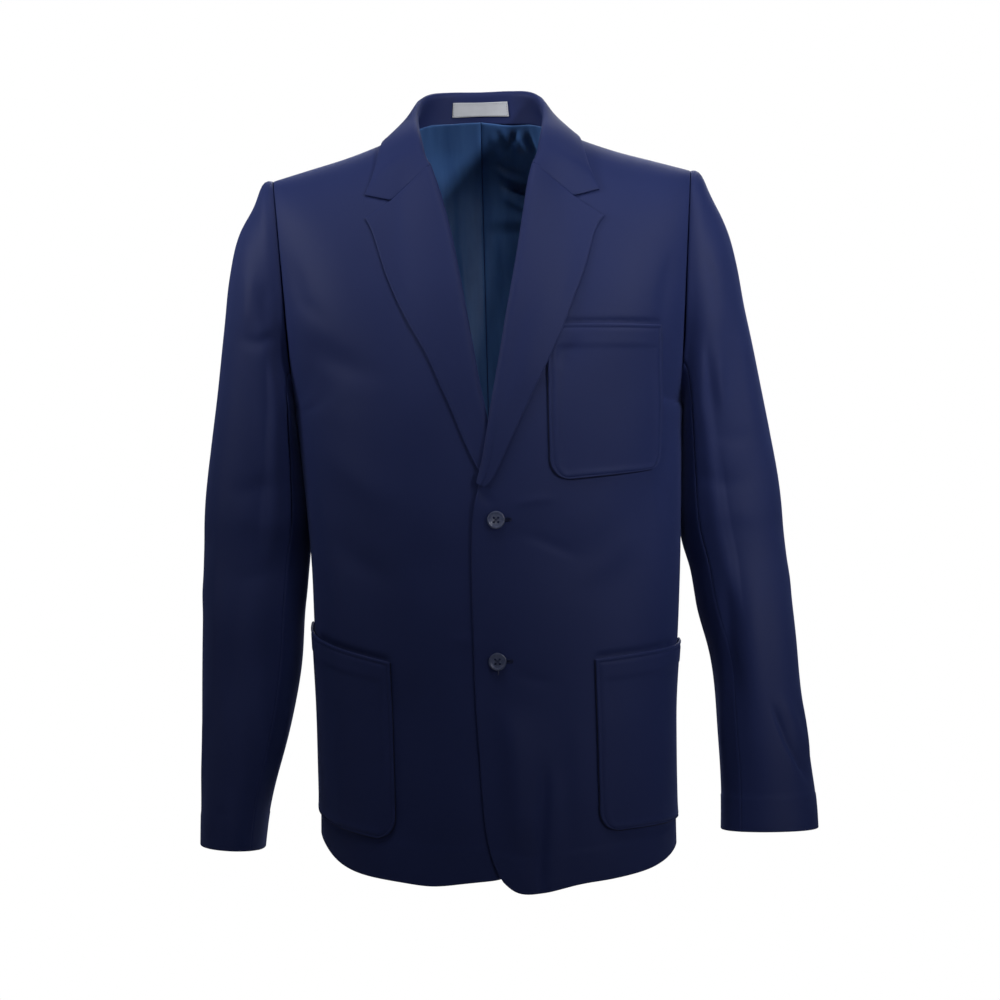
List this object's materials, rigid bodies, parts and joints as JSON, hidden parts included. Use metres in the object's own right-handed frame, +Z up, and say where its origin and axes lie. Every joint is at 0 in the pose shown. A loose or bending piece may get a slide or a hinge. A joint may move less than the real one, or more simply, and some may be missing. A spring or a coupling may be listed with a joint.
{
  "type": "school blazer",
  "caption": "Single-breasted navy school blazer filled out as if worn, with notch lapels, patch pockets, buttons and a satin back lining.",
  "frame": {"origin": "middle of the neck at the height of the shoulder points, where a form or hanger holds the garment", "axes": "+Z up the garment, -Y the way its front faces, +X the wearer's left"},
  "size_m": [0.5987, 0.2442, 0.7816],
  "materials": {
    "suiting": "matte twill",
    "lining": "satin",
    "label": "matte",
    "button": "semi-gloss"
  },
  "bodies": {
    "root": {"front_l": "suiting", "front_r": "suiting", "back_l": "suiting", "back_r": "suiting", "sleeve_top_l": "suiting", "sleeve_top_r": "suiting", "sleeve_under_l": "suiting", "sleeve_under_r": "suiting", "lapel_l": "suiting", "lapel_r": "suiting", "collar": "suiting", "pocket_chest": "suiting", "pocket_low_l": "suiting", "pocket_low_r": "suiting", "lining_back_l": "lining", "lining_back_r": "lining", "label": "label", "button_top": "button", "button_low": "button"}
  },
  "joints": []
}
